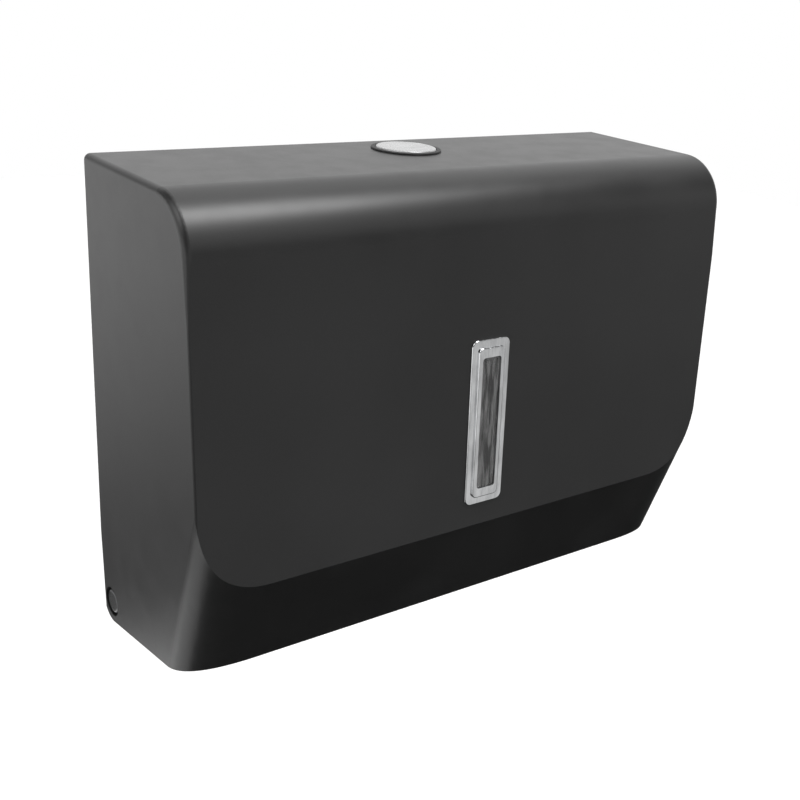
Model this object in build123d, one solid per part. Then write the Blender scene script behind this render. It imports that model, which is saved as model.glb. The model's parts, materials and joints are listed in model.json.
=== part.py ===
from build123d import *
import math
import os

# A wall-mounted dispenser for folded paper towels.
# All sizes are in millimetres. X runs along the wall, +Y into the wall, +Z up.
# Heights are counted from the lowest point of the cover and depths from the wall plane.
# At the very end every piece moves down by screw_centre_up, so that the origin lies on the
# wall plane, in the middle of the four wall screws.

# Overall form of the cover
cover_width = 272.0
cover_height = 206.7
cover_depth = 98.0
cover_wall = 2.5
wall_gap = 0.8
crease_up = 57.2
lean_angle = 3.7
chamfer_angle = 17.25
underside_angle = 11.33
side_draft_angle = 1.2
top_front_radius = 22.5
top_edge_radius = 2.6
front_edge_radius = 0.9
corner_overlap = 0.04
edge_taper_start = 1.0
edge_taper_length = 22.0
inner_edge_radius = 0.8
corner_across = 31.0
corner_deep = 15.0
rear_corner_radius = 9.8
front_lip_width = 9.0
side_lip_width = 9.0
side_lip_start = 22.0
underside_corner_radius = 14.0

# Wall fixing
screw_spacing_x = 180.0
screw_spacing_z = 110.0
screw_slot_length = 10.0
screw_slot_width = 5.5
screw_centre_up = 105.0
screw_pad_radius = 11.0
screw_pad_rise = 2.0

# Back plate
back_thickness = 3.0
back_side_gap = 1.0
back_top_gap = 1.2
back_low_edge = 2.0
back_rim_depth = 7.5
back_rim_thickness = 2.2
back_corner_radius = 5.0
back_rib_height = 3.0
back_rib_thickness = 1.8
back_notch_up = 21.0

# Hinge of the cover
pin_radius = 3.0
pin_head_radius = 5.5
pin_head_height = 1.9
pin_head_edge = 1.1
pin_head_gap = 0.1
pin_run_gap = 0.06
pin_seat_gap = 0.03
pin_tail = 2.2
hinge_recess_radius = 6.75
hinge_recess_depth = 3.4
hinge_boss_radius = 9.3
hinge_boss_rise = 3.4
hinge_side_gap = 0.3
ear_thickness = 3.8
ear_radius = 7.5
ear_foot_up = 46.0
bush_flange = 1.0
bush_sleeve_radius = 4.5
bush_seat_gap = 0.1
clip_radius = 5.2
clip_thickness = 0.8
clip_mouth = 3.4
clip_groove_depth = 0.6
clip_gap = 0.1

# Towel tray
tray_thickness = 2.5
tray_cover_gap = 1.0
tray_side_gap = 1.3
tray_front_gap = 2.6
tray_corner_radius = 20.0
tray_rim_height = 7.0
tray_rim_thickness = 2.0
tray_ear_gap = 2.5
tray_flange_height = 22.0
mouth_length = 200.0
mouth_width = 32.0
mouth_corner_radius = 12.0
mouth_grip_length = 110.0
mouth_grip_width = 46.0
mouth_lip_thickness = 2.2
mouth_lip_drop = 2.6

# Button, its collar and the lock behind it
button_depth = 23.4
button_radius = 13.3
button_rise = 1.3
button_skirt_thickness = 1.5
button_plate_thickness = 2.0
button_rim_overhang = 1.0
button_rim_height = 2.0
cap_thickness = 2.0
cap_edge_radius = 0.8
cap_spigot_radius = 2.5
cap_spigot_length = 1.6
collar_radius = 15.5
collar_rise = 0.8
collar_sleeve_radius = 14.5
collar_bead = 0.5
collar_bead_height = 1.0
collar_length = 8.3
slide_gap = 0.25
stop_gap = 0.3
fit_gap = 0.1

pivot_depth = 20.0
pivot_down = 20.5
pivot_radius = 2.0
pivot_run_gap = 0.08
pivot_head_radius = 3.2
pivot_head_height = 1.0
latch_width = 10.0
latch_side_gap = 0.3
latch_arm_reach = 9.0
latch_arm_end = 3.0
latch_arm_top = 2.0
latch_arm_under = 1.5
latch_front_gap = 1.5
latch_boss_radius = 4.0
latch_hook_reach = 9.8
latch_hook_drop = 5.5
latch_hook_thickness = 4.0
plunger_radius = 3.0
plunger_gap = 0.3

housing_plate_half = 24.5
housing_plate_thickness = 2.0
housing_plate_drop = 13.3
housing_front_depth = 38.0
housing_rear_depth = 12.5
housing_wall = 2.0
housing_floor_length = 10.5
housing_pivot_land = 5.0
housing_web_thickness = 1.6
lock_boss_radius = 3.5
lock_boss_across = 20.0
lock_boss_inset = 4.5

spring_wire = 0.8
spring_radius = 3.1
spring_length = 11.0
spring_turns = 5
spring_end_gap = 0.1
spring_spigot_radius = 1.7
spring_spigot_length = 2.0

strike_thickness = 1.5
strike_base_half = 22.0
strike_lip_half = 11.0
strike_base_height = 19.0
strike_engagement = 3.0
strike_hook_gap = 0.3
strike_shelf_down = 4.7
strike_corner_radius = 3.0
strike_bend_radius = 1.2

# Screws
screw_head_radius = 3.2
screw_head_height = 2.0
screw_shank_radius = 1.5
screw_cross_length = 4.2
screw_cross_width = 0.9
screw_cross_depth = 1.0
screw_blind_gap = 0.5
screw_seat_gap = 0.05
lock_screw_length = 8.0
tray_screw_reach = 96.0
tray_screw_up = 16.0
strike_screw_reach = 15.0
screw_head_edge = 0.7

# Window
window_up = 104.3
bezel_width = 20.0
bezel_height = 73.8
bezel_flange = 0.9
bezel_corner_radius = 3.2
bezel_edge_radius = 0.5
ring_width = 13.8
ring_height = 67.0
ring_rise = 1.9
ring_corner_radius = 2.2
pane_width = 9.8
pane_height = 58.6
pane_corner_radius = 1.4
bezel_tube_step = 2.2
lens_shoulder = 1.3
lens_shoulder_thickness = 1.2
lens_below_ring = 0.9
retainer_width = 4.2
retainer_thickness = 1.8
retainer_gap = 0.1
retainer_corner_radius = 2.5

# One overrun for every cutting tool, so that it passes clear through what it cuts
overrun = 4.0

half_width = cover_width / 2
inner_half = half_width - cover_wall
hinge_depth = wall_gap + rear_corner_radius
hinge_up = rear_corner_radius
inner_top = cover_height - cover_wall
lean_rate = math.tan(math.radians(lean_angle))
chamfer_rate = math.tan(math.radians(chamfer_angle))
slope_rate = math.tan(math.radians(underside_angle))
draft_rate = math.tan(math.radians(side_draft_angle))
draft_cos = math.cos(math.radians(side_draft_angle))
slope_cos = math.cos(math.radians(underside_angle))
slope_sin = math.sin(math.radians(underside_angle))


def front_depth(height):
    """Depth of the leaning front panel at a height."""
    return cover_depth - (height - crease_up) * lean_rate


def chamfer_depth(height):
    """Depth of the lower front chamfer at a height."""
    return cover_depth - (crease_up - height) * chamfer_rate


def underside_height(depth, inset=0):
    """Height of the sloping underside at a depth. It touches the rear corner round the hinge."""
    return hinge_up + (depth - hinge_depth) * slope_rate - (rear_corner_radius - inset) / slope_cos


def both_sides(shape):
    """A shape and its mirror image on the other side of the middle plane."""
    return shape + mirror(shape, Plane.YZ)


def along_x(sketch_points, low, high):
    """A prism along X with an outline of (depth, height) points, depth counted from the wall."""
    points = [(-depth, height) for depth, height in sketch_points]
    outline = make_face(Polyline(*points, close=True))
    return extrude(Plane.YZ.offset(low) * outline, high - low)


def disc_x(radius, low, high, depth=hinge_depth, height=hinge_up):
    """A round bar along X between two places."""
    return extrude(Plane.YZ.offset(low) * Pos(-depth, height) * Circle(radius), high - low)


def disc_z(radius, low, high, depth, across=0):
    """A round bar along Z between two heights."""
    return Pos(across, -depth, low) * extrude(Circle(radius), high - low)


def block(x_low, x_high, depth_near, depth_far, low, high):
    """A block between two places along X, two depths from the wall and two heights."""
    size = (x_high - x_low, depth_far - depth_near, high - low)
    centre = ((x_low + x_high) / 2, -(depth_near + depth_far) / 2, (low + high) / 2)
    return Pos(*centre) * Box(*size)


def group(pieces):
    """Separate solids that share one node."""
    return Compound([piece.solid() for piece in pieces])


# The cover


def half_at(depth, inset=0):
    """Half the cover's width at a depth. The sides draw in towards the front, as the mould needs."""
    return half_width - depth * draft_rate - inset / draft_cos


def side_outline(inset, rear_depth):
    """Outline of the cover seen from the side, drawn in by an inset, with the top front rounding."""
    front_inset = inset / math.cos(math.radians(lean_angle))
    top = cover_height - inset
    underside = underside_height(0, inset)
    top_front = front_depth(top) - front_inset
    low_up = (underside + (cover_depth + crease_up * lean_rate - front_inset) * slope_rate)
    low_up = low_up / (1 + lean_rate * slope_rate)
    corners = [
        (-rear_depth, top),
        (-top_front, top),
        (-(front_depth(low_up) - front_inset), low_up),
        (-rear_depth, underside_height(rear_depth, inset)),
    ]
    outline = make_face(Polyline(*corners, close=True))
    outline = fillet(outline.vertices().sort_by_distance(corners[1])[0], top_front_radius - inset)
    if inset == 0:
        outline = fillet(outline.vertices().sort_by_distance(corners[3])[0], rear_corner_radius)
    return outline


def drafted_sides(inset):
    """A block between the two sides, which draw in towards the front."""
    behind = 2 * overrun
    ahead = cover_depth + overrun
    plan = Polyline(
        (-half_at(-behind, inset), behind),
        (half_at(-behind, inset), behind),
        (half_at(ahead, inset), -ahead),
        (-half_at(ahead, inset), -ahead),
        close=True,
    )
    return Pos(0, 0, -overrun) * extrude(make_face(plan), cover_height + 2 * overrun)


def cover_prism(inset, rear_depth):
    """The cover without its chamfer, with rounded edges where the sides meet top and front."""
    prism = extrude(Plane.YZ.offset(-half_width) * side_outline(inset, rear_depth), cover_width)
    prism &= drafted_sides(inset)
    edges = []
    for edge in prism.edges():
        centre = edge.center()
        at_side = abs(centre.X) > half_at(cover_depth, inset) - overrun
        if at_side and centre.Z > crease_up and centre.Y < -hinge_depth:
            edges.append(edge)
    if inset > 0:
        return fillet(edges, inner_edge_radius)
    return sharpened(prism, fillet(edges, top_edge_radius))


def sharpened(prism, rounded):
    """The rounded prism, with front edges that taper to a small radius below the top rounding."""
    front_normal = Vector(0, -1, lean_rate).normalized()
    side_normal = Vector(-1, -draft_rate, 0).normalized()
    upward = side_normal.cross(front_normal).normalized()
    along = upward.cross(front_normal)
    start_up = cover_height - edge_taper_start
    start_up -= top_front_radius * (1 - math.sin(math.radians(lean_angle)))
    corner = Vector(-half_at(front_depth(start_up)), -front_depth(start_up), start_up)
    spread = cover_depth * math.tan(math.asin(front_normal.dot(side_normal)))
    shape = Polyline(
        (0, 0), (cover_width, 0), (cover_width, cover_depth), (-spread, cover_depth), close=True
    )
    sections = []
    for radius, drop in ((top_edge_radius, 0), (front_edge_radius, edge_taper_length)):
        section = make_face(shape)
        section = fillet(section.vertices().sort_by_distance((0, 0, 0))[0], radius)
        sections.append(Plane(corner - upward * drop, along, upward) * section)
    column = loft(sections, ruled=True) + extrude(sections[1], -cover_height)
    above = split(rounded, bisect_by=Plane(corner, along, upward))
    left = block(-cover_width, 0, -overrun, 2 * cover_depth, -overrun, 2 * cover_height)
    return both_sides((prism & column & left) + (above & left))


def wedge_section(height, inset):
    """A level section through the chamfered form, a hair wider than the cover at its sides."""
    front = chamfer_depth(height) - inset / math.cos(math.radians(chamfer_angle))
    side = front - corner_deep + inset
    rear = -2 * overrun
    outset = inset - corner_overlap
    corner = [(half_at(rear, outset), -rear), (half_at(side, outset), -side)]
    corner.append((half_at(front, outset), -front))
    corner.append((half_at(front, outset) - corner_across + inset, -front))
    left = [(-across, near) for across, near in corner]
    outline = [
        Line(*corner[:2]),
        Bezier(*corner[1:]),
        Line(corner[3], left[3]),
        Bezier(*reversed(left[1:])),
        Line(left[1], left[0]),
        Line(left[0], corner[0]),
    ]
    return Pos(0, 0, height) * make_face(outline)


def cover_wedge(inset):
    """The form that carries the chamfer, from below the cover to above it."""
    sections = [wedge_section(height, inset) for height in (-overrun, cover_height + overrun)]
    return loft(sections, ruled=True)


def cover_form(inset, rear_depth):
    """The cover's closed form, drawn in by an inset from every outer face."""
    return cover_prism(inset, rear_depth) & cover_wedge(inset)


def front_cover():
    """The one-piece moulded cover: open to the rear and, inside a lip, to the underside."""
    shell = cover_form(0, wall_gap) - cover_form(cover_wall, -overrun)
    lip_half = inner_half - side_lip_width
    lip_front = chamfer_depth(underside_height(chamfer_depth(0))) - cover_wall - front_lip_width
    hole = Pos(0, overrun - (lip_front + overrun) / 2) * RectangleRounded(
        2 * lip_half, lip_front + overrun, underside_corner_radius
    )
    shell -= Pos(0, 0, -overrun) * extrude(hole, crease_up)
    open_half = half_at(side_lip_start, cover_wall)
    shell -= block(-open_half, open_half, -overrun, side_lip_start, -overrun, crease_up / 2)
    boss = disc_x(hinge_boss_radius, inner_half - hinge_boss_rise, half_width - cover_wall / 2)
    shell += both_sides(boss)
    bore = disc_x(bush_sleeve_radius + bush_seat_gap, half_width / 2, half_width + overrun)
    recess = disc_x(hinge_recess_radius, half_width - hinge_recess_depth, half_width + overrun)
    shell -= both_sides(bore + recess)
    for across, depth in lock_boss_places():
        shell += disc_z(lock_boss_radius, housing_top(), inner_top + cover_wall / 2, depth, across)
        shell -= disc_z(
            screw_shank_radius + screw_seat_gap,
            housing_top() - overrun,
            housing_top() + lock_screw_length - housing_plate_thickness + screw_blind_gap,
            depth,
            across,
        )
    shell -= disc_z(
        collar_sleeve_radius + fit_gap, inner_top - overrun, cover_height + overrun, button_depth
    )
    return shell - tube_clearance()


# The window, drawn flat on the leaning front panel


def window_plane():
    """The outer face of the front panel in the middle of the window, looking out of it."""
    outward = Vector(0, -1, lean_rate)
    return Plane(
        origin=(0, -front_depth(window_up), window_up), x_dir=(1, 0, 0), z_dir=outward.normalized()
    )


def frame_solid(width, height, radius, low, high):
    """A rounded block on the front panel, from one height above its face to another."""
    outline = RectangleRounded(width, height, radius)
    return window_plane() * Pos(0, 0, low) * extrude(outline, high - low)


def tube_width():
    return ring_width + bezel_tube_step


def tube_height():
    return ring_height + bezel_tube_step


def tube_clearance():
    """The hole through the front panel for the bezel's tube."""
    return frame_solid(
        tube_width() + 2 * fit_gap,
        tube_height() + 2 * fit_gap,
        ring_corner_radius + fit_gap,
        -cover_wall - overrun,
        overrun,
    )


def tube_end():
    """How far behind the front face the bezel's tube reaches."""
    return -(cover_wall + fit_gap + retainer_thickness)


def window_bezel():
    """Bright frame: a flat flange, a raised ring round the pane and a tube through the panel."""
    flange = frame_solid(bezel_width, bezel_height, bezel_corner_radius, 0, bezel_flange)
    ring = frame_solid(ring_width, ring_height, ring_corner_radius, 0, ring_rise)
    bezel = frame_solid(tube_width(), tube_height(), ring_corner_radius, tube_end(), 0)
    outward = Axis((0, 0, 0), window_plane().z_dir)
    for step in (flange, ring):
        front = step.faces().sort_by(outward)[-1]
        bezel += fillet(front.edges(), bezel_edge_radius)
    bezel -= frame_solid(
        pane_width, pane_height, pane_corner_radius, tube_end() - overrun, ring_rise + overrun
    )
    pocket_width = pane_width + 2 * (lens_shoulder + fit_gap)
    pocket_height = pane_height + 2 * (lens_shoulder + fit_gap)
    return bezel - frame_solid(
        pocket_width, pocket_height, pane_corner_radius + fit_gap, tube_end() - overrun, lens_seat()
    )


def lens_seat():
    """Height of the step in the bezel that the lens shoulder rests against."""
    return -bezel_flange


def window_lens():
    """Clear moulded pane with a shoulder behind it that the bezel's step holds."""
    pane = frame_solid(
        pane_width - 2 * fit_gap,
        pane_height - 2 * fit_gap,
        pane_corner_radius - fit_gap,
        lens_seat(),
        ring_rise - lens_below_ring,
    )
    shoulder = frame_solid(
        pane_width + 2 * lens_shoulder,
        pane_height + 2 * lens_shoulder,
        pane_corner_radius,
        lens_seat() - lens_shoulder_thickness,
        lens_seat(),
    )
    return pane + shoulder


def window_retainer():
    """Frame inside the cover that grips the bezel's tube and holds the lens shoulder in."""
    top = -cover_wall
    low = top - retainer_thickness
    outer = frame_solid(
        tube_width() + 2 * retainer_width,
        tube_height() + 2 * retainer_width,
        retainer_corner_radius,
        low,
        top,
    )
    hole = frame_solid(
        tube_width() + 2 * retainer_gap,
        tube_height() + 2 * retainer_gap,
        ring_corner_radius + retainer_gap,
        low - overrun,
        top + overrun,
    )
    return outer - hole


# The back plate and what is fixed to it


def slot_places():
    """Centres of the four wall-screw slots, as (across, height)."""
    places = []
    for across in (-screw_spacing_x / 2, screw_spacing_x / 2):
        for height in (-screw_spacing_z / 2, screw_spacing_z / 2):
            places.append((across, screw_centre_up + height))
    return places


def back_outline(shrink):
    """Front view of the back plate: rounded at the top, narrower at the foot beside the hinge."""
    reach = inner_half - back_side_gap - shrink
    foot = inner_half - hinge_boss_rise - hinge_side_gap - shrink
    top = inner_top - back_top_gap - shrink
    low = back_low_edge
    points = [
        (-foot, low),
        (foot, low),
        (foot, back_notch_up + shrink),
        (reach, back_notch_up + shrink),
        (reach, top),
        (-reach, top),
        (-reach, back_notch_up + shrink),
        (-foot, back_notch_up + shrink),
    ]
    outline = make_face(Polyline(*points, close=True))
    corners = outline.vertices().group_by(Axis.Y)[-1]
    return fillet(corners, back_corner_radius)


def from_wall(sketch, near, far):
    """A front-view sketch run from one depth to another."""
    return extrude(Plane.XZ.offset(near) * sketch, far - near)


def back_plate():
    """Moulded plate with a rim, ribs, pads round the wall-screw slots and two hinge ears."""
    plate = from_wall(back_outline(0), 0, back_thickness)
    rim = from_wall(back_outline(0), 0, back_rim_depth)
    inner = from_wall(back_outline(back_rim_thickness), -overrun, back_rim_depth + overrun)
    inner += block(
        -inner_half + ear_step(), inner_half - ear_step(), -overrun, back_rim_depth + overrun,
        -overrun, back_notch_up,
    )
    rim -= inner
    plate += rim
    plate -= block(
        -half_width, half_width, back_thickness, back_rim_depth + overrun, -overrun, back_notch_up
    )
    rib_top = inner_top - back_top_gap - back_rim_thickness
    rib_low = tray_flange_top() + back_rib_thickness
    rib_front = back_thickness + back_rib_height
    reach = inner_half - back_side_gap - back_rim_thickness / 2
    for across in (-rib_across(), rib_across()):
        plate += block(
            across - back_rib_thickness / 2, across + back_rib_thickness / 2,
            back_thickness, rib_front, rib_low, rib_top,
        )
    low_rib = (rib_low + screw_centre_up) / 2
    high_rib = (screw_centre_up + strike_base_low()) / 2
    for height in (low_rib, high_rib):
        plate += block(
            -reach, reach, back_thickness, rib_front,
            height - back_rib_thickness / 2, height + back_rib_thickness / 2,
        )
    for across, height in slot_places():
        pad = Pos(across, height) * SlotOverall(
            screw_slot_length + 2 * screw_pad_radius, 2 * screw_pad_radius
        )
        plate += from_wall(pad, 0, back_thickness + screw_pad_rise)
    for across, height in slot_places():
        slot = Pos(across, height) * SlotOverall(screw_slot_length, screw_slot_width)
        plate -= from_wall(slot, -overrun, back_rim_depth)
    plate += both_sides(hinge_ear())
    for across, height in tray_screw_places() + strike_screw_places():
        hole = Pos(across, height) * Circle(screw_shank_radius + screw_seat_gap)
        plate -= from_wall(hole, back_thickness - screw_bite(), back_thickness + overrun)
    return plate


def ear_step():
    """How much narrower than the cover's inside the foot of the back plate is."""
    return hinge_boss_rise + hinge_side_gap


def rib_across():
    """Place of the two upright ribs, midway between the strike plate and the screw pads."""
    return (strike_base_half + screw_spacing_x / 2 - screw_pad_radius) / 2


def screw_bite():
    """Depth of the blind holes in the back plate."""
    return back_thickness - screw_blind_gap / 2


def ear_inner():
    """Inner face of the hinge ear."""
    return inner_half - hinge_boss_rise - hinge_side_gap - ear_thickness


def hinge_ear():
    """Ear that carries the hinge pin, round at its front end and running up into a gusset."""
    outer = ear_inner() + ear_thickness
    round_end = disc_x(ear_radius, ear_inner(), outer)
    tilt = math.atan2(ear_foot_up - hinge_up, hinge_depth)
    reach = ear_radius / math.sin(tilt)
    gusset = along_x(
        [
            (back_thickness / 2, back_low_edge),
            (hinge_depth, hinge_up - ear_radius),
            (
                hinge_depth + ear_radius * math.cos(tilt / 2),
                hinge_up + ear_radius * math.sin(tilt / 2),
            ),
            (back_thickness / 2, ear_foot_up + reach - ear_radius),
        ],
        ear_inner(),
        outer,
    )
    ear = round_end + gusset
    return ear - disc_x(pin_radius + pin_seat_gap, ear_inner() - overrun, outer + overrun)


def tray_plane():
    """Plane through the hinge axis, level along X and sloping like the cover's underside."""
    return Plane(
        origin=(0, -hinge_depth, hinge_up), x_dir=(1, 0, 0), z_dir=(0, slope_sin, slope_cos)
    )


def tray_low():
    """The tray's lower face under the hinge axis, a running gap above the cover's lip."""
    return -(rear_corner_radius - cover_wall - tray_cover_gap)


def tray_reach():
    """How far in front of the hinge axis the tray ends, so that the cover swings past it."""
    swing = chamfer_depth(underside_height(chamfer_depth(0))) - hinge_depth
    return swing - cover_wall - tray_front_gap


def tray_outline(shrink):
    """Plan of the tray: full width in front of the hinge ears, narrower between them."""
    wide = half_at(cover_depth, cover_wall) - tray_side_gap - shrink
    narrow = ear_inner() - tray_ear_gap - shrink
    step = -(ear_radius + tray_ear_gap + shrink)
    front = -(tray_reach() - shrink)
    rear = hinge_depth
    points = [
        (-wide, front), (wide, front), (wide, step), (narrow, step),
        (narrow, rear), (-narrow, rear), (-narrow, step), (-wide, step),
    ]
    outline = make_face(Polyline(*points, close=True))
    corners = outline.vertices().group_by(Axis.Y)[0]
    return fillet(corners, tray_corner_radius - shrink)


def mouth_outline(grow):
    """The mouth in the tray: a long slot with an oval in the middle for the fingers."""
    slot = RectangleRounded(
        mouth_length + 2 * grow, mouth_width + 2 * grow, mouth_corner_radius + grow
    )
    grip = Ellipse(mouth_grip_length / 2 + grow, mouth_grip_width / 2 + grow)
    middle = -(tray_reach() - ear_radius) / 2 - ear_radius / 2
    return Pos(0, middle) * (slot + grip)


def tray_flange_top():
    return back_low_edge + tray_flange_height


def towel_tray():
    """Sloping floor under the towels, with a low rim, a lipped mouth and a flange to screw on."""
    place = tray_plane()
    low = tray_low()
    floor_top = low + tray_thickness
    floor = place * Pos(0, 0, low) * extrude(tray_outline(0), tray_thickness)
    rim = place * Pos(0, 0, low) * extrude(tray_outline(0), tray_thickness + tray_rim_height)
    rim -= place * Pos(0, 0, low - overrun) * extrude(
        tray_outline(tray_rim_thickness), tray_thickness + tray_rim_height + 2 * overrun
    )
    behind = hinge_depth + ear_radius + tray_ear_gap
    rim -= block(-half_width, half_width, -overrun, behind, -overrun, crease_up)
    tray = floor + rim
    lip = extrude(mouth_outline(mouth_lip_thickness), tray_thickness + mouth_lip_drop)
    tray += place * Pos(0, 0, low - mouth_lip_drop) * lip
    tray -= place * Pos(0, 0, low - overrun) * extrude(mouth_outline(0), crease_up)
    tray -= block(-half_width, half_width, -2 * cover_depth, back_thickness, -crease_up, crease_up)
    narrow = ear_inner() - tray_ear_gap
    tray += block(
        -narrow, narrow, back_thickness, back_thickness + tray_thickness,
        back_low_edge, tray_flange_top(),
    )
    for across, height in tray_screw_places():
        hole = Pos(across, height) * Circle(screw_shank_radius + fit_gap)
        tray -= from_wall(hole, back_thickness - overrun, back_thickness + tray_thickness + overrun)
    return tray


def tray_screw_places():
    """Centres of the four screws through the tray's flange."""
    shares = (-1, -1 / 3, 1 / 3, 1)
    return [(share * tray_screw_reach, tray_screw_up) for share in shares]


def screw(length):
    """Pan-head screw with a cross recess. Its head stands on z = 0 and its shank points down."""
    head = extrude(Circle(screw_head_radius), screw_head_height)
    head = fillet(head.edges().group_by(Axis.Z)[-1], screw_head_edge)
    cross = Rectangle(screw_cross_length, screw_cross_width)
    cross += Rectangle(screw_cross_width, screw_cross_length)
    depth = screw_head_height - screw_cross_depth
    head -= Pos(0, 0, depth) * extrude(cross, screw_cross_depth + overrun)
    return head + Pos(0, 0, -length) * extrude(Circle(screw_shank_radius), length)


def screws_from_front(places, seat_depth):
    """Screws driven towards the wall, with their heads on one depth."""
    length = seat_depth - screw_blind_gap
    screws = []
    for across, height in places:
        screws.append(Pos(across, -seat_depth, height) * Rot(90, 0, 0) * screw(length))
    return group(screws)


# The lock


def pivot_up():
    """Height of the latch's pivot."""
    return cover_height - pivot_down


def housing_top():
    """Upper face of the lock housing's plate."""
    return cover_height - housing_plate_drop


def lock_boss_places():
    """Centres of the four bosses under the cover's top, as (across, depth)."""
    near = housing_rear_depth + lock_boss_inset
    far = housing_front_depth - lock_boss_inset
    places = []
    for across in (-lock_boss_across, lock_boss_across):
        for depth in (near, far):
            places.append((across, depth))
    return places


def button_collar():
    """Dark ring in the cover's top with a sleeve that guides the button."""
    ring = disc_z(collar_radius, cover_height, cover_height + collar_rise, button_depth)
    ring = fillet(ring.edges().group_by(Axis.Z)[-1], collar_rise / 2)
    collar = ring + disc_z(
        collar_sleeve_radius, cover_height - collar_length + collar_rise, cover_height, button_depth
    )
    bead_top = inner_top - fit_gap
    collar += disc_z(
        collar_sleeve_radius + collar_bead, bead_top - collar_bead_height, bead_top, button_depth
    )
    return collar - disc_z(
        button_radius + slide_gap, cover_height - 2 * collar_length, cover_height + overrun, button_depth
    )


def cap_low():
    """Underside of the button's bright cap."""
    return cover_height + button_rise - cap_thickness


def collar_low():
    """Lower end of the collar's sleeve."""
    return cover_height - collar_length + collar_rise


def button_cap():
    """Bright disc on top of the button, with a spigot that snaps into it."""
    cap = disc_z(button_radius, cap_low(), cap_low() + cap_thickness, button_depth)
    cap = fillet(cap.edges().group_by(Axis.Z)[-1], cap_edge_radius)
    return cap + disc_z(cap_spigot_radius, cap_low() - cap_spigot_length, cap_low(), button_depth)


def push_button():
    """Cup-shaped button with a stop rim round its foot and a plunger that presses the latch."""
    plate_low = cap_low() - button_plate_thickness
    rim_top = collar_low() - stop_gap
    skirt_low = rim_top - button_rim_height
    button = disc_z(button_radius, skirt_low, cap_low(), button_depth)
    button += disc_z(button_radius + button_rim_overhang, skirt_low, rim_top, button_depth)
    button -= disc_z(
        button_radius - button_skirt_thickness, skirt_low - overrun, plate_low, button_depth
    )
    tip = pivot_up() + latch_arm_top + plunger_gap + plunger_radius
    plunger_depth = pivot_depth + latch_arm_reach
    button += disc_z(plunger_radius, tip, plate_low + button_plate_thickness / 2, plunger_depth)
    button += Pos(0, -plunger_depth, tip) * Sphere(plunger_radius)
    return button - disc_z(
        cap_spigot_radius + fit_gap, cap_low() - cap_spigot_length - fit_gap, cap_low() + overrun,
        button_depth,
    )


def lock_housing():
    """Bracket under the cover's top: a screw plate, two cheeks for the pivot and a spring floor."""
    inner = latch_width / 2 + latch_side_gap
    outer = inner + housing_wall
    plate_low = housing_top() - housing_plate_thickness
    plate = block(
        -housing_plate_half, housing_plate_half, housing_rear_depth, housing_front_depth,
        plate_low, housing_top(),
    )
    plate = fillet(plate.edges().filter_by(Axis.Z), lock_boss_radius)
    plate -= block(
        -inner, inner, housing_rear_depth - overrun, web_depth(), plate_low - overrun,
        housing_top() + overrun,
    )
    floor_top = spring_low()
    floor_low = floor_top - housing_wall
    floor_rear = pivot_depth + latch_arm_reach - housing_floor_length / 2
    web_far = web_depth() + housing_web_thickness
    land = pivot_up() - housing_pivot_land
    cheek = along_x(
        [
            (floor_rear, floor_low),
            (web_far, floor_low),
            (web_far, housing_top()),
            (pivot_depth - housing_pivot_land, housing_top()),
            (pivot_depth - housing_pivot_land, land),
            (floor_rear - housing_pivot_land / 2, land),
        ],
        inner,
        outer,
    )
    housing = plate + both_sides(cheek)
    housing += block(-outer, outer, floor_rear, web_far, floor_low, floor_top)
    housing += block(-outer, outer, web_depth(), web_far, floor_low, housing_top())
    housing += disc_z(
        spring_spigot_radius, floor_top, floor_top + spring_spigot_length,
        pivot_depth + latch_arm_reach,
    )
    housing -= disc_x(
        pivot_radius + fit_gap / 2, -outer - overrun, outer + overrun, pivot_depth, pivot_up()
    )
    for across, depth in lock_boss_places():
        housing -= disc_z(
            screw_shank_radius + fit_gap, plate_low - overrun, housing_top() + overrun, depth, across
        )
    return housing


def web_depth():
    """Rear face of the housing's front web."""
    return pivot_depth + latch_arm_reach + latch_arm_end + latch_front_gap


def spring_low():
    """Upper face of the floor that the spring stands on."""
    return pivot_up() - latch_arm_under - spring_length


def lock_screws():
    """Four screws that hold the lock housing to the bosses under the cover's top."""
    seat = housing_top() - housing_plate_thickness
    screws = []
    for across, depth in lock_boss_places():
        screws.append(Pos(across, -depth, seat) * Rot(180, 0, 0) * screw(lock_screw_length))
    return group(screws)


def latch_pivot_pin():
    """Steel pin through the cheeks, with a head at one end and a peened rim at the other."""
    outer = latch_width / 2 + latch_side_gap + housing_wall
    pin = disc_x(pivot_radius, -outer - fit_gap, outer + fit_gap, pivot_depth, pivot_up())
    for low in (-outer - fit_gap - pivot_head_height, outer + fit_gap):
        pin += disc_x(pivot_head_radius, low, low + pivot_head_height, pivot_depth, pivot_up())
    return pin


def latch_lever():
    """Rocking latch: its front arm takes the plunger, its rear arm ends in a hook with a ramp."""
    half = latch_width / 2
    arm_end = latch_arm_reach + latch_arm_end
    hook_end = latch_hook_reach + latch_hook_thickness
    outline = [
        (arm_end, latch_arm_top),
        (arm_end, -latch_arm_under),
        (-latch_hook_reach, -latch_arm_under),
        (-latch_hook_reach, -latch_hook_drop),
        (-hook_end, -latch_arm_under / 2),
        (-hook_end, latch_arm_top),
    ]
    points = [(pivot_depth + reach, pivot_up() + rise) for reach, rise in outline]
    lever = along_x(points, -half, half)
    lever += disc_x(latch_boss_radius, -half, half, pivot_depth, pivot_up())
    top = pivot_up() - latch_arm_under
    lever += disc_z(
        spring_spigot_radius, top - spring_spigot_length, top, pivot_depth + latch_arm_reach
    )
    bore = disc_x(
        pivot_radius + pivot_run_gap, -half - overrun, half + overrun, pivot_depth, pivot_up()
    )
    return lever - bore


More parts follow.
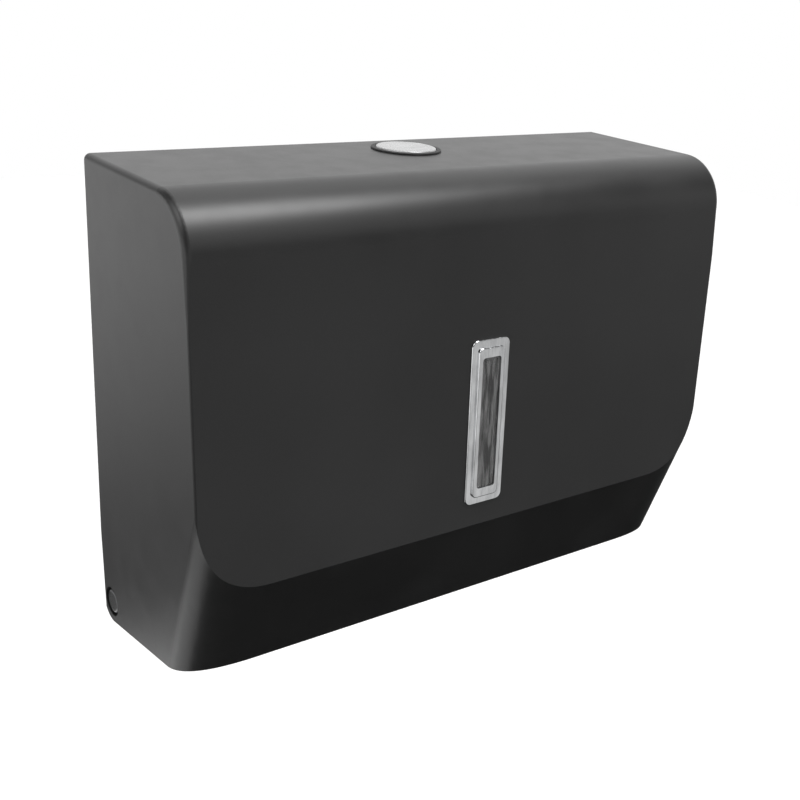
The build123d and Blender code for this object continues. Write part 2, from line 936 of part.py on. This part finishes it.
def biarc(start, start_way, end, end_way):
    """Two arcs that leave one point and reach another, each in a given direction."""
    chord = end - start
    ways = start_way + end_way
    closing = 2 * (1 - start_way.dot(end_way))
    reach = chord.dot(ways)
    step = (math.sqrt(reach * reach + closing * chord.dot(chord)) - reach) / closing
    first = start + start_way * step
    second = end - end_way * step
    middle = (first + second) * 0.5
    return [
        TangentArc(start, middle, tangent=start_way),
        TangentArc(middle, end, tangent=(second - first).normalized()),
    ]


def coil_point(turn, low, pitch):
    """A point on the spring's centre line and its direction, after a number of turns."""
    angle = 2 * math.pi * turn
    centre = pivot_depth + latch_arm_reach
    point = Vector(
        spring_radius * math.cos(angle), spring_radius * math.sin(angle) - centre, low + pitch * turn
    )
    around = 2 * math.pi * spring_radius
    way = Vector(-around * math.sin(angle), around * math.cos(angle), pitch)
    return point, way.normalized()


def coil_gap(low, pitch):
    """Least distance from wire to wire, measured between points half a turn or more apart."""
    steps = 24
    points = [coil_point(step / steps, low, pitch)[0] for step in range(steps * spring_turns + 1)]
    least = spring_length
    for number, point in enumerate(points):
        for other in points[number + steps // 2:]:
            least = min(least, (other - point).length)
    return least - spring_wire


def latch_spring():
    """Compression spring under the latch's front arm, wound as one unbroken wire."""
    low = spring_low() + spring_end_gap + spring_wire / 2
    high = spring_low() + spring_length - spring_end_gap - spring_wire / 2
    pitch = (high - low) / spring_turns
    steps = 4 * spring_turns
    edges = []
    for step in range(steps):
        start, start_way = coil_point(step / 4, low, pitch)
        end, end_way = coil_point((step + 1) / 4, low, pitch)
        edges += biarc(start, start_way, end, end_way)
    path = Wire([edge.edge() for edge in edges])
    print("latch_spring least gap to itself", round(coil_gap(low, pitch), 3))
    start, way = coil_point(0, low, pitch)
    return sweep(Plane(origin=start, z_dir=way) * Circle(spring_wire / 2), path)


def strike_lip_top():
    """Upper edge of the lip that the latch hooks behind."""
    return pivot_up() - latch_hook_drop + strike_engagement


def strike_base_low():
    """Lower edge of the strike plate's base."""
    return strike_lip_top() - strike_shelf_down - strike_base_height


def strike_plate():
    """Steel bracket on the back plate with an upturned lip that the latch hooks behind."""
    lip_near = pivot_depth - latch_hook_reach + strike_hook_gap
    lip_far = lip_near + strike_thickness
    lip_top = strike_lip_top()
    shelf_low = lip_top - strike_shelf_down - strike_thickness
    profile = [
        (back_thickness, shelf_low),
        (lip_far, shelf_low),
        (lip_far, lip_top),
        (lip_near, lip_top),
        (lip_near, shelf_low + strike_thickness),
        (back_thickness, shelf_low + strike_thickness),
    ]
    bracket = along_x(profile, -strike_lip_half, strike_lip_half)
    outer_bend = bracket.edges().filter_by(Axis.X).group_by(Axis.Y)[0].group_by(Axis.Z)[0]
    bracket = fillet(outer_bend, strike_bend_radius)
    base = Pos(0, strike_base_low() + strike_base_height / 2) * RectangleRounded(
        2 * strike_base_half, strike_base_height, strike_corner_radius
    )
    plate = from_wall(base, back_thickness, back_thickness + strike_thickness) + bracket
    for across, height in strike_screw_places():
        hole = Pos(across, height) * Circle(screw_shank_radius + fit_gap)
        plate -= from_wall(hole, 0, back_thickness + strike_thickness + overrun)
    return plate


def strike_screw_places():
    """Centres of the two screws that hold the strike plate."""
    height = strike_base_low() + strike_base_height / 2
    return [(-strike_screw_reach, height), (strike_screw_reach, height)]


# The hinge


def hinge_bush():
    """Flanged bush in the cover's side that turns on the hinge pin. This is the +X one."""
    recess_floor = half_width - hinge_recess_depth
    inner_end = inner_half - hinge_boss_rise
    bush = disc_x(bush_sleeve_radius, inner_end, recess_floor)
    bush += disc_x(hinge_recess_radius - bush_seat_gap, recess_floor, recess_floor + bush_flange)
    return bush - disc_x(pin_radius + pin_run_gap, inner_end - overrun, half_width)


def groove_place():
    """Inner end of the groove in the hinge pin that holds the clip."""
    return ear_inner() - clip_gap - clip_thickness


def hinge_pin():
    """Hinge pin with a low domed head in the cover's recess, on the +X side."""
    head_low = half_width - hinge_recess_depth + bush_flange + pin_head_gap
    head = disc_x(pin_head_radius, head_low, head_low + pin_head_height)
    head = fillet(head.edges().group_by(Axis.X)[-1], pin_head_edge)
    pin = head + disc_x(pin_radius, ear_inner() - pin_tail, head_low)
    collar = disc_x(pin_radius + overrun, groove_place(), groove_place() + clip_thickness)
    collar -= disc_x(
        pin_radius - clip_groove_depth, groove_place() - overrun, groove_place() + overrun
    )
    return pin - collar


def pin_clip():
    """Open spring clip in the pin's groove, against the inside of the ear, on the +X side."""
    clip = disc_x(clip_radius, groove_place(), groove_place() + clip_thickness)
    clip -= disc_x(
        pin_radius - clip_groove_depth + fit_gap / 2,
        groove_place() - overrun,
        groove_place() + overrun,
    )
    mouth = block(
        groove_place() - overrun, groove_place() + overrun,
        hinge_depth - clip_mouth / 2, hinge_depth + clip_mouth / 2,
        hinge_up, hinge_up + 2 * clip_radius,
    )
    return clip - mouth


def build():
    """Every piece of the dispenser under its node name."""
    pieces = {
        "front_cover": front_cover(),
        "window_bezel": window_bezel(),
        "window_lens": window_lens(),
        "window_retainer": window_retainer(),
        "button_collar": button_collar(),
        "lock_housing": lock_housing(),
        "lock_screws": lock_screws(),
        "latch_pivot_pin": latch_pivot_pin(),
        "latch_spring": latch_spring(),
        "push_button": push_button(),
        "button_cap": button_cap(),
        "latch_lever": latch_lever(),
        "back_plate": back_plate(),
        "towel_tray": towel_tray(),
        "tray_screws": screws_from_front(tray_screw_places(), back_thickness + tray_thickness),
        "strike_plate": strike_plate(),
        "strike_screws": screws_from_front(
            strike_screw_places(), back_thickness + strike_thickness
        ),
    }
    hinge_pieces = {"hinge_bush": hinge_bush(), "hinge_pin": hinge_pin(), "pin_clip": pin_clip()}
    for name, piece in hinge_pieces.items():
        pieces[name + "_right"] = piece
        pieces[name + "_left"] = mirror(piece, Plane.YZ)
    return {name: Pos(0, 0, -screw_centre_up) * piece for name, piece in pieces.items()}


os.makedirs("parts", exist_ok=True)
for name, piece in build().items():
    export_step(piece, os.path.join("parts", name + ".step"))
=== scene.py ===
# %% [markdown]
# A wall dispenser for folded paper towels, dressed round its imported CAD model. The CAD model
# already holds every real shape, size and joint, so it is loaded first and left alone. What
# this file adds is what the eye sees: the finish of every surface, the light and the camera.
# All lengths are in metres, and the origin lies on the wall plane between the four wall screws.

import json
import math

import bpy
from mathutils import Matrix, Vector


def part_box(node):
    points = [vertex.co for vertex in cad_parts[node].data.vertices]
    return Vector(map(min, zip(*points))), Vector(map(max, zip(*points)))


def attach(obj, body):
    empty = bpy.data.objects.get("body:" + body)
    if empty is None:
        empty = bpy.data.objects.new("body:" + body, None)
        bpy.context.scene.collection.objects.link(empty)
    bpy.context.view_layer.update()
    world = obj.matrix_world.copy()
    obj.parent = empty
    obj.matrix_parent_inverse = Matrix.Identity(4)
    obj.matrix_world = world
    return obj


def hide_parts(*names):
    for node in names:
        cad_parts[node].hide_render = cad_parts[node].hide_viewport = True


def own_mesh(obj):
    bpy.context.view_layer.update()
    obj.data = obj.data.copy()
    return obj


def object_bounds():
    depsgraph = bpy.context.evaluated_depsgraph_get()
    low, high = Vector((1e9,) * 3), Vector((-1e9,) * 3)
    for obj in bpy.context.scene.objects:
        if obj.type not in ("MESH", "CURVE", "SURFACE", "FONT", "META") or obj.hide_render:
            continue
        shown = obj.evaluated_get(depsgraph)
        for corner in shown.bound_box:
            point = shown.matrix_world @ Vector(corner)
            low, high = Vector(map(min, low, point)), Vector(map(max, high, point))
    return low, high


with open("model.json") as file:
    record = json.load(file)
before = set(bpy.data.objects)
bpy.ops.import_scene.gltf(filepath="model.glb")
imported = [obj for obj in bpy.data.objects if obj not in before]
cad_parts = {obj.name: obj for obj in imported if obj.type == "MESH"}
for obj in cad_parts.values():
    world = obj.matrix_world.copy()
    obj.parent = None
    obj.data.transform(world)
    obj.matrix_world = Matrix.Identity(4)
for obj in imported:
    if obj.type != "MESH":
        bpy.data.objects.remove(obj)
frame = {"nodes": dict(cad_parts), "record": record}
cad_low, cad_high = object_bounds()
nodes = frame["nodes"]
for plain_finish in list(bpy.data.materials):
    bpy.data.materials.remove(plain_finish)
mm = 0.001
print("pieces from the CAD model:", len(nodes))
print("size in mm:", [round(side / mm, 1) for side in cad_high - cad_low])

# %% [markdown]
# The camera stands where the photographer stood: in front, to the left and a little above the
# object, looking down on it, and tipped a few degrees to one side. A place and three turns
# describe that. The turn about the camera's own line of sight comes first, then the tilt, and
# the heading last, because each later turn carries the earlier ones with it.

# %% Camera
picture_side_px = 800
focal_length_px = 1083.25
camera_place = Vector((-0.27890, -0.41584, 0.17866))
heading = math.radians(35.99)
tilt_down = math.radians(22.105)
tip = math.radians(3.925)

lens = bpy.data.cameras.new("camera")
lens.sensor_width = 36.0
lens.lens = lens.sensor_width * focal_length_px / picture_side_px
camera = bpy.data.objects.new("camera", lens)
bpy.context.scene.collection.objects.link(camera)
bpy.context.scene.camera = camera
turns = (
    Matrix.Rotation(-heading, 4, "Z")
    @ Matrix.Rotation(math.pi / 2 - tilt_down, 4, "X")
    @ Matrix.Rotation(tip, 4, "Z")
)
camera.matrix_world = Matrix.Translation(camera_place) @ turns
bpy.context.scene.view_settings.view_transform = "Standard"
print("lens in mm:", round(lens.lens, 2))

# %% [markdown]
# Every finish below is a small network of shader nodes. Wiring nodes by hand takes many lines,
# so one helper adds a node and feeds its sockets, either with plain values or with what other
# nodes give out. It works for materials and for the world alike.

# %% A helper for shader nodes
def node(tree, kind, feeds=None, **settings):
    """Adds a shader node, sets its properties and feeds its sockets."""
    made = tree.nodes.new("ShaderNode" + kind)
    for name, value in settings.items():
        setattr(made, name, value)
    for socket, value in (feeds or {}).items():
        if isinstance(value, bpy.types.NodeSocket):
            tree.links.new(value, made.inputs[socket])
        else:
            made.inputs[socket].default_value = value
    return made


def combined(tree, first, second, operation="ADD"):
    """Two values added, multiplied, or the greater of the two."""
    return node(tree, "Math", {0: first, 1: second}, operation=operation).outputs[0]


def between(tree, value, low, high, to_low=0.0, to_high=1.0):
    """Maps a value from one range to another, with smooth ends."""
    feeds = {"Value": value, "From Min": low, "From Max": high}
    feeds.update({"To Min": to_low, "To Max": to_high})
    return node(tree, "MapRange", feeds, interpolation_type="SMOOTHSTEP").outputs["Result"]


# %% [markdown]
# The room. Satin black plastic has hardly any colour of its own: what the eye sees is the room,
# mirrored softly. So the studio is built first. The world is painted by direction: a white
# sweep stands behind the object and fades towards the photographer's side, and soft panels glow
# overhead and at the sides. Each panel is bright in its middle and has faded to nothing 26
# degrees away, so that it leaves no hard line in the plastic. The edges below are given as the
# cosine of that angle: where the light starts to show, and where it is full.
#
# The camera, and what is seen through the clear pane, meet plain white in every direction. A
# mirror ray meets that white only where the sweep really stands, because the photographer's end
# of a studio is dark, and that is what keeps the front and the chamfer of the cover dark.

# %% Where the light comes from
sweep_way = (0.59, 0.81, 0.0)
sweep_edge = (0.3, 0.85)
sweep_foot = (-0.5, -0.12, 0.05, 1.0)
soft_panels = {
    "overhead": ((0.17, -0.12, 0.98), 3.8),
    "overhead_front": ((0.26, -0.44, 0.86), 2.1),
    "high_front": ((0.40, -0.76, 0.51), 1.05),
    "high_rear": ((0.40, 0.52, 0.75), 1.5),
    "low_front": ((0.45, -0.81, -0.38), 0.6),
    "high_left": ((-0.60, -0.10, 0.79), 3.0),
    "high_left_rear": ((-0.85, 0.25, 0.46), 1.6),
    "front_left": ((-0.55, -0.82, -0.15), 0.6),
    "front": ((-0.05, -0.99, 0.08), 0.68),
    "right_front": ((0.86, -0.50, 0.05), 0.6),
    "right": ((0.97, 0.20, 0.10), 0.6),
    "left_front": ((-0.95, -0.28, -0.08), 1.65),
    "left": ((-0.97, 0.20, -0.14), 0.9),
    "left_rear": ((-0.75, 0.65, -0.11), 1.6),
    "rear_left": ((-0.48, 0.86, -0.15), 0.45),
}
panel_edge = (0.9, 0.995)
print("soft panels in the world:", len(soft_panels))

# %% [markdown]
# The world's shader works out, for each ray, how nearly it points at the sweep and at each
# panel. A dot product of two unit vectors says that: 1 is straight at it. Every panel then adds
# its brightness to the level of light from that direction.

# %% World
world = bpy.data.worlds.new("studio")
bpy.context.scene.world = world
world.use_nodes = True
tree = world.node_tree
tree.nodes.clear()
way = node(tree, "TexCoord").outputs["Generated"]


def towards(direction):
    """How nearly a ray points in a direction: 1 along it and -1 against it."""
    feeds = {0: way, 1: Vector(direction).normalized()}
    return node(tree, "VectorMath", feeds, operation="DOT_PRODUCT").outputs["Value"]


sweep = combined(
    tree,
    between(tree, towards(sweep_way), *sweep_edge),
    between(tree, towards((0, 0, 1)), *sweep_foot),
    "MULTIPLY",
)
level = sweep
for direction, strength in soft_panels.values():
    level = combined(tree, level, between(tree, towards(direction), *panel_edge, 0.0, strength))

# %% [markdown]
# Light Path tells what kind of ray has arrived. The white is mixed in for camera and
# transmission rays everywhere, and for glossy rays by how much of the sweep lies in their
# direction.

# %% White background
ray = node(tree, "LightPath").outputs
seen = combined(tree, ray["Is Camera Ray"], ray["Is Transmission Ray"], "MAXIMUM")
mirrored = combined(tree, ray["Is Glossy Ray"], sweep, "MULTIPLY")
share_of_white = combined(tree, seen, mirrored, "MAXIMUM")
lit = node(tree, "Background", {"Color": (1, 1, 1, 1), "Strength": level})
white = node(tree, "Background", {"Color": (1, 1, 1, 1), "Strength": 1.0})
shown = node(tree, "MixShader", {0: share_of_white, 1: lit.outputs[0], 2: white.outputs[0]})
node(tree, "OutputWorld", {"Surface": shown.outputs[0]})
print("nodes in the world:", len(tree.nodes))

# %% [markdown]
# The floor lies well below the object, because the object hangs on a wall and its open cover
# swings down past it. It is pale and takes shadow. A share of white is added for the rays that
# look at it, so that the lit floor and the white background meet without a line. Mirror rays
# pass the floor by and meet the world beyond, which is painted for them. From below, the floor
# is clear, so that a camera under it still sees the object.

# %% Floor
floor_below = 0.42
floor_reach = 3.0
floor_tone = 0.6
floor_glow = 0.35
floor_mesh = bpy.data.meshes.new("floor")
corners = [(x, y, cad_low.z - floor_below) for x, y in ((-1, -1), (1, -1), (1, 1), (-1, 1))]
corners = [(x * floor_reach, y * floor_reach, z) for x, y, z in corners]
floor_mesh.from_pydata(corners, [], [(0, 1, 2, 3)])
floor = bpy.data.objects.new("floor", floor_mesh)
bpy.context.scene.collection.objects.link(floor)
floor.visible_glossy = False

floor_finish = bpy.data.materials.new("floor")
floor_finish.use_nodes = True
tree = floor_finish.node_tree
tree.nodes.clear()
pale = node(tree, "BsdfDiffuse", {"Color": (floor_tone, floor_tone, floor_tone, 1)})
glow = node(tree, "Emission", {"Color": (1, 1, 1, 1), "Strength": floor_glow})
ray = node(tree, "LightPath").outputs
looks = combined(tree, ray["Is Camera Ray"], ray["Is Transmission Ray"], "MAXIMUM")
looks = combined(tree, looks, ray["Is Glossy Ray"], "MAXIMUM")
both = node(tree, "AddShader", {0: pale.outputs[0], 1: glow.outputs[0]})
seen_floor = node(tree, "MixShader", {0: looks, 1: pale.outputs[0], 2: both.outputs[0]})
clear = node(tree, "BsdfTransparent")
side = node(tree, "NewGeometry").outputs["Backfacing"]
one_sided = node(tree, "MixShader", {0: side, 1: seen_floor.outputs[0], 2: clear.outputs[0]})
node(tree, "OutputMaterial", {"Surface": one_sided.outputs[0]})
floor_mesh.materials.append(floor_finish)
print("floor below the object in m:", floor_below)

# %% [markdown]
# Three soft boxes stand nearer than the panels, so their light changes along the object, as the
# light in the photograph does. One hangs where the left end of the rounded front edge mirrors
# it, and there the long reflection is brightest. Two stand near the floor on the left and lift
# the lower rear corner of the side, which the world's panels can't reach, because the floor
# hides them from there. A lamp's power is worked out from its area and the brightness that it
# should have, so that a larger lamp gives a softer light and not a brighter mirror image. The
# camera doesn't see the lamps themselves.

# %% Lamps
def soft_box(name, place, width, height, brightness):
    """A rectangular area lamp that faces the middle of the object."""
    light = bpy.data.lights.new(name, "AREA")
    light.shape = "RECTANGLE"
    light.size = width
    light.size_y = height
    light.energy = brightness * math.pi * width * height
    lamp = bpy.data.objects.new(name, light)
    lamp.location = place
    lamp.rotation_euler = (Vector(place) - middle).to_track_quat("Z", "Y").to_euler()
    lamp.visible_camera = False
    bpy.context.scene.collection.objects.link(lamp)
    print(name, "watts:", round(light.energy, 2))


middle = (cad_low + cad_high) / 2
soft_box("over_front_corner", (0.27, -0.31, 0.85), 0.35, 0.35, 8.2)
soft_box("under_left_rear", (-0.20, 0.17, -0.44), 0.30, 0.30, 2.0)
soft_box("under_left", (-0.40, -0.02, -0.42), 0.40, 0.30, 1.4)

# %% [markdown]
# The finishes come next, and most of them need the same three things: an empty material, a
# neutral colour and a soft noise. Noise is measured here in metres, because a grain or a streak
# has a real size on the object, whatever the size of the piece.

# %% Helpers for finishes
def new_finish(name):
    """An empty material with a Principled shader in it."""
    finish = bpy.data.materials.new(name)
    finish.use_nodes = True
    return finish, finish.node_tree, finish.node_tree.nodes["Principled BSDF"]


def grey(level, warmth=0.0):
    """A grey with a slight lean to warm or cool."""
    return (level * (1 + warmth), level, level * (1 - warmth), 1.0)


def cloud(tree, place, size, detail=3.0, roughness=0.5):
    """Soft noise with features of about one size, in metres."""
    feeds = {"Vector": place, "Scale": 1 / size, "Detail": detail, "Roughness": roughness}
    return node(tree, "TexNoise", feeds).outputs["Fac"]


noise_middle = (0.3, 0.7)

# %% [markdown]
# Moulded plastic. The cover comes from a spark-eroded mould, which leaves a grain of about half
# a millimetre, and its tone drifts slightly from place to place. Grain is far finer than any
# mesh, so it belongs in a bump map. It is driven by the object's own coordinates, which stay
# with the piece when it moves.

# %% Moulded plastic
def moulded(name, dark, light, rough, grain_size, grain_depth, drift_size=0.06):
    """Moulded plastic with a fine grain, a slow drift of tone and faint rubbed places."""
    finish, tree, shader = new_finish(name)
    place = node(tree, "TexCoord").outputs["Object"]
    drift = between(tree, cloud(tree, place, drift_size, 4.0), *noise_middle)
    grain = cloud(tree, place, grain_size, 2.0, 0.6)
    tone = node(tree, "MixRGB", {"Fac": drift, "Color1": grey(dark), "Color2": grey(light)})
    speck = between(tree, grain, 0.35, 0.75, 0.9, 1.12)
    speckled = node(tree, "MixRGB", {"Fac": 1.0, "Color1": tone.outputs[0], "Color2": speck})
    speckled.blend_type = "MULTIPLY"
    rubs = cloud(tree, place, drift_size / 4, 5.0, 0.65)
    rubbed = between(tree, rubs, 0.35, 0.7, rough - 0.015, rough + 0.02)
    bump = node(tree, "Bump", {"Height": grain, "Strength": 0.35, "Distance": grain_depth})
    tree.links.new(speckled.outputs[0], shader.inputs["Base Color"])
    tree.links.new(rubbed, shader.inputs["Roughness"])
    tree.links.new(bump.outputs[0], shader.inputs["Normal"])
    return finish


# %% [markdown]
# Four plastics are moulded. The cover is satin charcoal, the pieces behind it are rougher and a
# shade paler, the latch is grey, and the ring and the bushes are nearly black. The ring's plastic
# is a little darker than the cover's and shines a little less than plain plastic does. That extra
# darkness is painted shade, so that the ring reads as the thin shadow line round the cap.

# %% The four plastics
cover_grain = 0.45 * mm
small_drift = 0.02
cover_plastic = moulded(
    "cover_plastic", dark=0.013, light=0.017, rough=0.36,
    grain_size=cover_grain, grain_depth=0.05 * mm,
)
inner_plastic = moulded(
    "inner_plastic", dark=0.028, light=0.036, rough=0.52,
    grain_size=0.9 * mm, grain_depth=0.05 * mm,
)
grey_plastic = moulded(
    "grey_plastic", dark=0.13, light=0.16, rough=0.45,
    grain_size=0.7 * mm, grain_depth=0.04 * mm, drift_size=small_drift,
)
# Painted shade: this black plastic is made a little darker than the cover's and, below, shines
# less, so that the ring reads as the thin shadow line round the cap.
ring_plastic_with_painted_shade = moulded(
    "ring_plastic_with_painted_shade", dark=0.010, light=0.014, rough=0.55,
    grain_size=0.6 * mm, grain_depth=0.01 * mm, drift_size=small_drift,
)
ring_shade_shader = ring_plastic_with_painted_shade.node_tree.nodes["Principled BSDF"]
ring_shade_shader.inputs["Specular IOR Level"].default_value = 0.4
print("grain of the cover in mm:", round(cover_grain / mm, 2))

# %% [markdown]
# Metals. A metal has almost no colour of its own here, so its roughness and small marks tell
# one from another. The plated window frame is smooth, with a faint haze and a slightly wavy
# skin. Zinc-plated steel has a crystal-like mottle, the hinge pins are darkened steel, and
# spring wire is bright.

# %% Metals
def metal(name, tone, rough, mottle_size, mottle=0.12, stretch=(1, 1, 1), waves=0.0):
    """Metal with a mottled tone and roughness, and a wavy surface if it is only a plated skin."""
    finish, tree, shader = new_finish(name)
    place = node(tree, "TexCoord").outputs["Object"]
    place = node(tree, "Mapping", {"Vector": place, "Scale": stretch}).outputs[0]
    patches = between(tree, cloud(tree, place, mottle_size, 3.0, 0.6), *noise_middle)
    dark, light = grey(tone * (1 - mottle), -0.01), grey(tone, -0.01)
    colour = node(tree, "MixRGB", {"Fac": patches, "Color1": dark, "Color2": light})
    tree.links.new(colour.outputs[0], shader.inputs["Base Color"])
    hazed = between(tree, patches, 0.0, 1.0, rough * (1 + mottle), rough * (1 - mottle))
    tree.links.new(hazed, shader.inputs["Roughness"])
    if waves:
        swell = cloud(tree, place, waves, 2.0)
        bump = node(tree, "Bump", {"Height": swell, "Strength": 0.5, "Distance": waves / 10})
        tree.links.new(bump.outputs[0], shader.inputs["Normal"])
    shader.inputs["Metallic"].default_value = 1.0
    return finish


plated_frame = metal(
    "plated_frame", tone=0.84, rough=0.10,
    mottle_size=4 * mm, mottle=0.2, stretch=(1, 1, 0.3), waves=5 * mm,
)
zinc_steel = metal("zinc_steel", tone=0.62, rough=0.34, mottle_size=1.2 * mm, mottle=0.2)
dark_steel = metal("dark_steel", tone=0.10, rough=0.36, mottle_size=0.8 * mm, mottle=0.25)
spring_wire = metal("spring_wire", tone=0.55, rough=0.28, mottle_size=0.4 * mm, mottle=0.15)
print("metals:", [finish.name for finish in (plated_frame, zinc_steel, dark_steel, spring_wire)])

# %% [markdown]
# The button's cap is a pale silvery disc. Its lacquer is smooth, holds a little metal powder,
# and has faint streaks from side to side, which come from noise that is stretched along the
# disc.

# %% Cap
def silver_lacquer():
    """Smooth pale lacquer with a trace of metal powder."""
    finish, tree, shader = new_finish("silver_lacquer")
    place = node(tree, "TexCoord").outputs["Object"]
    streaks = node(tree, "Mapping", {"Vector": place, "Scale": (0.3, 1, 1)}).outputs[0]
    powder = between(tree, cloud(tree, streaks, 4 * mm, 2.0), *noise_middle)
    dark, light = grey(0.36, -0.005), grey(0.41, -0.005)
    tone = node(tree, "MixRGB", {"Fac": powder, "Color1": dark, "Color2": light})
    tree.links.new(tone.outputs[0], shader.inputs["Base Color"])
    worn = between(tree, cloud(tree, place, 5 * mm, 2.0), *noise_middle, 0.24, 0.3)
    tree.links.new(worn, shader.inputs["Roughness"])
    shader.inputs["Metallic"].default_value = 0.25
    return finish


cap_lacquer = silver_lacquer()

# %% [markdown]
# The pane is clear moulded plastic. The melt leaves upright flow lines in it, and they show as
# darker and paler streaks against the dark inside of the dispenser. So the noise is drawn out
# upright, and drives both the tone and a shallow bump.

# %% Pane
def clear_pane():
    """Clear moulded plastic with upright flow lines and a faint haze."""
    finish, tree, shader = new_finish("clear_pane")
    place = node(tree, "TexCoord").outputs["Object"]
    upright = node(tree, "Mapping", {"Vector": place, "Scale": (1, 1, 0.08)}).outputs[0]
    flow = cloud(tree, upright, 1.6 * mm, 3.0)
    bump = node(tree, "Bump", {"Height": flow, "Strength": 0.3, "Distance": 0.3 * mm})
    tree.links.new(bump.outputs[0], shader.inputs["Normal"])
    streak = between(tree, flow, 0.38, 0.6)
    tone = node(tree, "MixRGB", {"Fac": streak, "Color1": grey(0.10), "Color2": grey(0.50)})
    tree.links.new(tone.outputs[0], shader.inputs["Base Color"])
    shader.inputs["Transmission Weight"].default_value = 0.75
    shader.inputs["Roughness"].default_value = 0.08
    shader.inputs["IOR"].default_value = 1.49
    return finish


pane_plastic = clear_pane()
print("finishes for the window:", [plated_frame.name, pane_plastic.name])

# %% [markdown]
# The latch's spring. A real compression spring is one wire, and its end turns lie closed
# against their neighbours and are ground flat, so that it stands upright. The coil in the CAD
# model is open from end to end, so this one stands for it, in the same place. Its size is taken
# from the CAD coil's box.

# %% Measure the spring
spring_low, spring_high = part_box("latch_spring")
wire = 0.8 * mm
coil_radius = (spring_high.x - spring_low.x - wire) / 2
coil_middle = (spring_low + spring_high) / 2
end_turns, open_turns, steps_per_turn = 1.0, 4.5, 24
open_rise = spring_high.z - spring_low.z - wire / 2 - 2 * end_turns * wire


def coil_height(turn):
    """Height of the wire's middle after a number of turns: closed, then open, then closed."""
    closed = min(turn, end_turns) + max(turn - end_turns - open_turns, 0)
    opened = min(max(turn - end_turns, 0), open_turns) / open_turns
    return spring_low.z + wire / 4 + closed * wire + opened * open_rise


print("free length of the spring in mm:", round((spring_high.z - spring_low.z) / mm, 1))

# %% [markdown]
# The wire is drawn as a curve with a round section, because a curve needs only the line of its
# middle. It is then turned into a mesh, and ground flat by holding every point between the two
# ends.

# %% Wind the wire
wire_curve = bpy.data.curves.new("coil", "CURVE")
wire_curve.dimensions = "3D"
wire_curve.bevel_depth = wire / 2
wire_curve.bevel_resolution = 3
wire_curve.use_fill_caps = True
steps = round((2 * end_turns + open_turns) * steps_per_turn)
line = wire_curve.splines.new("POLY")
line.points.add(steps)
for step, point in enumerate(line.points):
    turn = step / steps_per_turn
    angle = 2 * math.pi * turn
    x = coil_middle.x + coil_radius * math.cos(angle)
    y = coil_middle.y + coil_radius * math.sin(angle)
    point.co = (x, y, coil_height(turn), 1)
drawn = bpy.data.objects.new("coil_line", wire_curve)
bpy.context.scene.collection.objects.link(drawn)
coil_mesh = bpy.data.meshes.new_from_object(drawn)
bpy.data.objects.remove(drawn)
for point in coil_mesh.vertices:
    point.co.z = min(max(point.co.z, spring_low.z), spring_high.z)
coil_mesh.materials.clear()
coil_mesh.materials.append(spring_wire)
coil_mesh.shade_smooth()
print("faces in the coil:", len(coil_mesh.polygons))

# %% [markdown]
# The coil stands in the cover's lock housing, so it rides on the cover.

# %% Put the spring in place
coil = bpy.data.objects.new("latch_coil", coil_mesh)
bpy.context.scene.collection.objects.link(coil)
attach(coil, "cover")
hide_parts("latch_spring")
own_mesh(coil)

# %% [markdown]
# Each CAD piece now gets its finish. The table follows the material slots of the record, so a
# piece that is added to the model later finds its finish by its slot. The two hinge pins share
# a slot with the bright screws, but their heads are dark in the photograph, so they are named
# one by one.

# %% Put the finishes on
finish_of_slot = {
    "cover_plastic": cover_plastic,
    "inner_plastic": inner_plastic,
    "mechanism_plastic": grey_plastic,
    "trim_plastic": ring_plastic_with_painted_shade,
    "button_cap": cap_lacquer,
    "bezel_chrome": plated_frame,
    "lens_clear": pane_plastic,
    "steel": zinc_steel,
    "spring_steel": spring_wire,
}
finish_of_node = {"hinge_pin_left": dark_steel, "hinge_pin_right": dark_steel}
for part in frame["record"]["subparts"]:
    finish = finish_of_node.get(part["node"], finish_of_slot[part["material_slot"]])
    piece = nodes[part["node"]]
    piece.data.materials.clear()
    piece.data.materials.append(finish)
